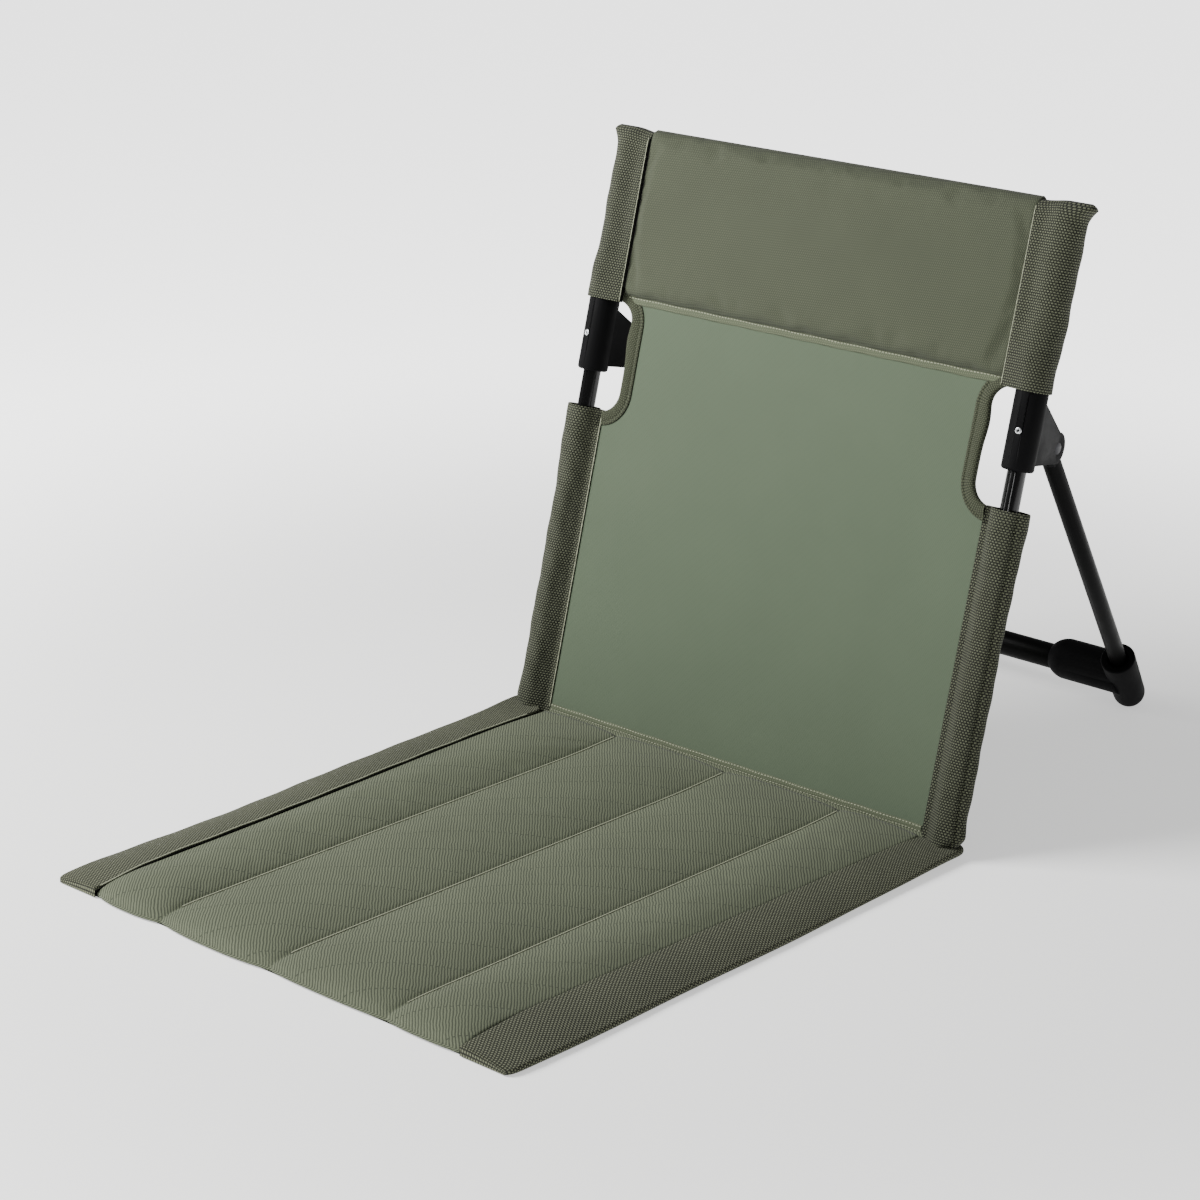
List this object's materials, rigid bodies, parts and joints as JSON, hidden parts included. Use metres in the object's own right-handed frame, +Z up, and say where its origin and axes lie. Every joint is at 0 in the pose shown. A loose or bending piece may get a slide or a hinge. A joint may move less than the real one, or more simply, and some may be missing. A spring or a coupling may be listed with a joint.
{
  "type": "low folding ground chair",
  "caption": "Low ground chair: quilted seat mat, reclined back on poles in cloth sleeves, and a folding rear stand with a cross bar.",
  "frame": {"origin": "on the floor, under the middle of the chair's bounding box", "axes": "+Z up from the floor, -Y the way the seat points, +Y towards the rear stand, +X to the right when the chair is seen from the front"},
  "size_m": [0.428, 0.7756, 0.435],
  "materials": {
    "black_tube": "satin black powder coat on drawn tube",
    "black_plastic": "moulded black nylon, satin",
    "rivet_metal": "plain rivet metal",
    "pin_steel": "blackened steel pin",
    "sleeve_cloth": "heavy ballistic weave, olive green",
    "panel_mesh": "fine smooth open weave, grey green",
    "binding_tape": "folded and stitched tape, olive green",
    "quilt_cloth": "fine ribbed polyester, olive green",
    "ground_cloth": "coated ground cloth, dark olive",
    "foam": "open foam, pale"
  },
  "bodies": {
    "backrest": {"pole_left": "black_tube", "pole_right": "black_tube", "pole_top_cap_left": "black_plastic", "pole_top_cap_right": "black_plastic", "pole_bottom_cap_left": "black_plastic", "pole_bottom_cap_right": "black_plastic", "hub_left": "black_plastic", "hub_right": "black_plastic", "hub_rivets": "rivet_metal", "leg_pins": "pin_steel", "upper_sleeve_left": "sleeve_cloth", "upper_sleeve_right": "sleeve_cloth", "lower_sleeve_left": "sleeve_cloth", "lower_sleeve_right": "sleeve_cloth", "corner_pocket_left": "sleeve_cloth", "corner_pocket_right": "sleeve_cloth", "mesh_panel": "panel_mesh", "cutout_binding_left": "binding_tape", "cutout_binding_right": "binding_tape", "headrest_cover": "quilt_cloth", "headrest_pad": "foam", "headrest_hem": "binding_tape", "seat_seam": "binding_tape"},
    "seat": {"seat_base": "ground_cloth", "seat_cover": "quilt_cloth", "seat_pad_1": "foam", "seat_pad_2": "foam", "seat_pad_3": "foam", "seat_pad_4": "foam", "seat_hem_left": "sleeve_cloth", "seat_hem_right": "sleeve_cloth", "corner_seam_left": "sleeve_cloth", "corner_seam_right": "sleeve_cloth"},
    "rear_stand": {"leg_left": "black_tube", "leg_right": "black_tube", "leg_tongue_left": "black_plastic", "leg_tongue_right": "black_plastic", "foot_left": "black_plastic", "foot_right": "black_plastic", "foot_bar": "black_tube"}
  },
  "joints": [
    {"name": "seat_fold", "type": "hinge", "parent": "backrest", "child": "seat", "pos_m": [0, 0.03418, 0.004], "axis": [-1, 0, 0], "range_deg": [-75, 96]},
    {"name": "stand_fold", "type": "hinge", "parent": "backrest", "child": "rear_stand", "pos_m": [0, 0.1596, 0.2626], "axis": [-1, 0, 0], "range_deg": [0, 55]}
  ]
}
